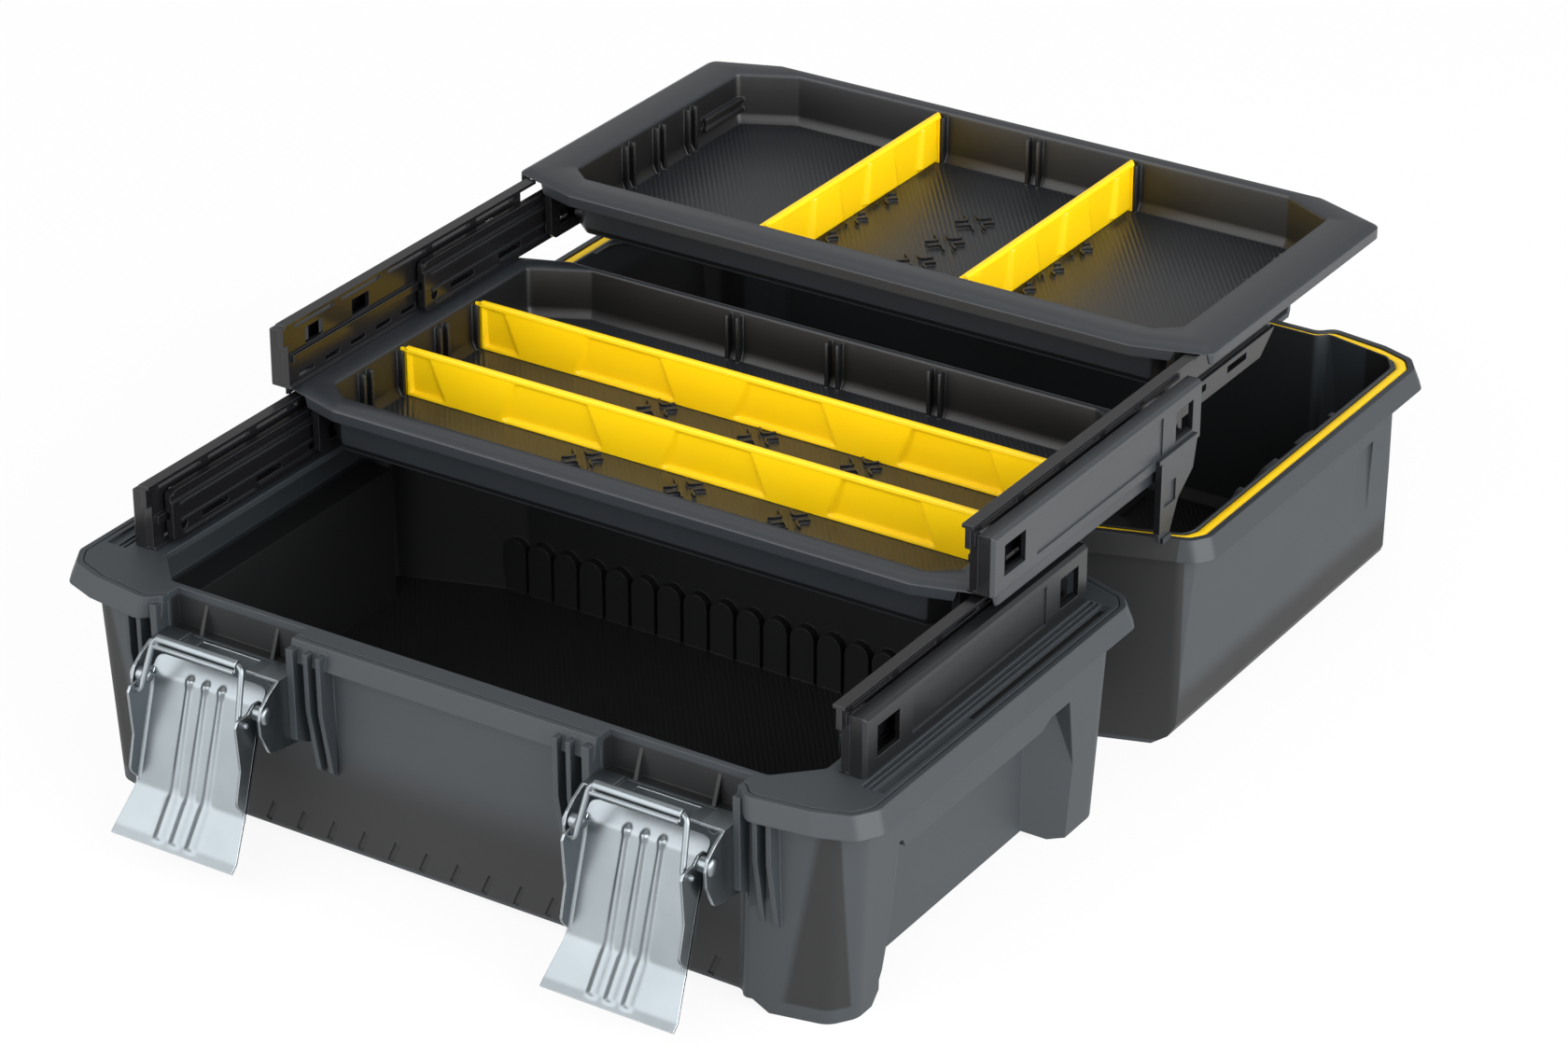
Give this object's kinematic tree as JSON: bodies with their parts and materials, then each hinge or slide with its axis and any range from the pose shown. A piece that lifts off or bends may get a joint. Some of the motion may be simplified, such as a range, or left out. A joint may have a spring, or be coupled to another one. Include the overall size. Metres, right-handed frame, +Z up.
{
  "type": "cantilever tool box",
  "caption": "Open-topped tool box with a hinged lid, trays that slide rearward on telescopic rails, lift-out dividers and draw latches.",
  "frame": {"origin": "on the floor, under the middle of the open box's bounding rectangle", "axes": "+X to the right as seen from the latches, +Y from the latches to the hinge, +Z up"},
  "size_m": [0.4576, 0.628, 0.199],
  "materials": {
    "shell_plastic": "fine moulded grain",
    "tray_plastic": "satin moulded",
    "rail_plastic": "gloss moulded",
    "handle_plastic": "satin moulded",
    "yellow_plastic": "satin",
    "zinc_plate": "bright zinc plate"
  },
  "bodies": {
    "base": {"base_tub": "shell_plastic", "base_hinge_barrels": "shell_plastic", "hinge_pins": "zinc_plate", "base_cover_left": "rail_plastic", "base_cover_right": "rail_plastic", "base_track_left": "rail_plastic", "base_track_right": "rail_plastic", "bracket_left": "zinc_plate", "bracket_right": "zinc_plate"},
    "middle_stage": {"middle_tray": "tray_plastic", "middle_runner_left": "rail_plastic", "middle_runner_right": "rail_plastic", "middle_cover_left": "rail_plastic", "middle_cover_right": "rail_plastic", "middle_track_left": "rail_plastic", "middle_track_right": "rail_plastic", "rail_leg_left": "rail_plastic", "rail_leg_right": "rail_plastic"},
    "top_stage": {"top_tray": "tray_plastic", "top_runner_left": "rail_plastic", "top_runner_right": "rail_plastic"},
    "lid": {"lid_shell": "shell_plastic", "lid_seal": "yellow_plastic", "lid_hinge_barrels": "shell_plastic", "handle_pins": "handle_plastic"},
    "handle": {"carry_handle": "handle_plastic"},
    "lower_bar_left_stage": {"lower_bar_left": "rail_plastic"},
    "upper_bar_left_stage": {"upper_bar_left": "rail_plastic"},
    "latch_lever_left": {"lever_left": "zinc_plate", "lever_rivets_left": "zinc_plate"},
    "latch_bail_left": {"bail_left": "zinc_plate", "hook_left": "zinc_plate"},
    "lower_bar_right_stage": {"lower_bar_right": "rail_plastic"},
    "upper_bar_right_stage": {"upper_bar_right": "rail_plastic"},
    "latch_lever_right": {"lever_right": "zinc_plate", "lever_rivets_right": "zinc_plate"},
    "latch_bail_right": {"bail_right": "zinc_plate", "hook_right": "zinc_plate"},
    "middle_divider_front_body": {"middle_divider_front": "yellow_plastic"},
    "middle_divider_rear_body": {"middle_divider_rear": "yellow_plastic"},
    "top_divider_left_body": {"top_divider_left": "yellow_plastic"},
    "top_divider_right_body": {"top_divider_right": "yellow_plastic"}
  },
  "joints": [
    {"name": "lid_hinge", "type": "hinge", "parent": "base", "child": "lid", "pos_m": [0, 0.01772, 0.117], "axis": [-1, 0, 0], "range_deg": [-180, 0]},
    {"name": "middle_slide", "type": "slide", "parent": "base", "child": "middle_stage", "axis": [0, 1, 0], "range_m": [-0.11801, 0]},
    {"name": "top_slide", "type": "slide", "parent": "middle_stage", "child": "top_stage", "axis": [0, 1, 0], "range_m": [-0.20601, 0]},
    {"name": "lower_bar_left_slide", "type": "slide", "parent": "base", "child": "lower_bar_left_stage", "axis": [0, 1, 0], "range_m": [-0.00801, 0]},
    {"name": "upper_bar_left_slide", "type": "slide", "parent": "middle_stage", "child": "upper_bar_left_stage", "axis": [0, 1, 0], "range_m": [-0.10401, 0]},
    {"name": "lower_bar_right_slide", "type": "slide", "parent": "base", "child": "lower_bar_right_stage", "axis": [0, 1, 0], "range_m": [-0.00801, 0]},
    {"name": "upper_bar_right_slide", "type": "slide", "parent": "middle_stage", "child": "upper_bar_right_stage", "axis": [0, 1, 0], "range_m": [-0.10401, 0]},
    {"name": "lift_middle_divider_front", "type": "slide", "parent": "middle_stage", "child": "middle_divider_front_body", "axis": [0, 0, 1], "range_m": [0, 0.04]},
    {"name": "lift_middle_divider_rear", "type": "slide", "parent": "middle_stage", "child": "middle_divider_rear_body", "axis": [0, 0, 1], "range_m": [0, 0.04]},
    {"name": "lift_top_divider_left", "type": "slide", "parent": "top_stage", "child": "top_divider_left_body", "axis": [0, 0, 1], "range_m": [0, 0.04]},
    {"name": "lift_top_divider_right", "type": "slide", "parent": "top_stage", "child": "top_divider_right_body", "axis": [0, 0, 1], "range_m": [0, 0.04]},
    {"name": "handle_hinge", "type": "hinge", "parent": "lid", "child": "handle", "pos_m": [0, 0.18772, 0.0072], "axis": [1, 0, 0], "range_deg": [-90, 0]},
    {"name": "latch_left", "type": "hinge", "parent": "base", "child": "latch_lever_left", "pos_m": [-0.1236, -0.28218, 0.0861], "axis": [-1, 0, 0], "range_deg": [-27, 85]},
    {"name": "bail_left", "type": "hinge", "parent": "latch_lever_left", "child": "latch_bail_left", "pos_m": [-0.1236, -0.29148, 0.0835], "axis": [1, 0, 0], "range_deg": [-33.1, 104]},
    {"name": "latch_right", "type": "hinge", "parent": "base", "child": "latch_lever_right", "pos_m": [0.1236, -0.28218, 0.0861], "axis": [-1, 0, 0], "range_deg": [-27, 85]},
    {"name": "bail_right", "type": "hinge", "parent": "latch_lever_right", "child": "latch_bail_right", "pos_m": [0.1236, -0.29148, 0.0835], "axis": [1, 0, 0], "range_deg": [-33.1, 104]}
  ],
  "couplings": [
    {"joint": "middle_slide", "follows": "lid_hinge", "m_per_rad": 0.037561},
    {"joint": "top_slide", "follows": "lid_hinge", "m_per_rad": 0.065572},
    {"joint": "lower_bar_left_slide", "follows": "lid_hinge", "m_per_rad": 0.002546},
    {"joint": "upper_bar_left_slide", "follows": "lid_hinge", "m_per_rad": 0.033104},
    {"joint": "lower_bar_right_slide", "follows": "lid_hinge", "m_per_rad": 0.002546},
    {"joint": "upper_bar_right_slide", "follows": "lid_hinge", "m_per_rad": 0.033104},
    {"joint": "bail_left", "follows": "latch_left", "ratio": 1.2222},
    {"joint": "bail_right", "follows": "latch_right", "ratio": 1.2222}
  ]
}
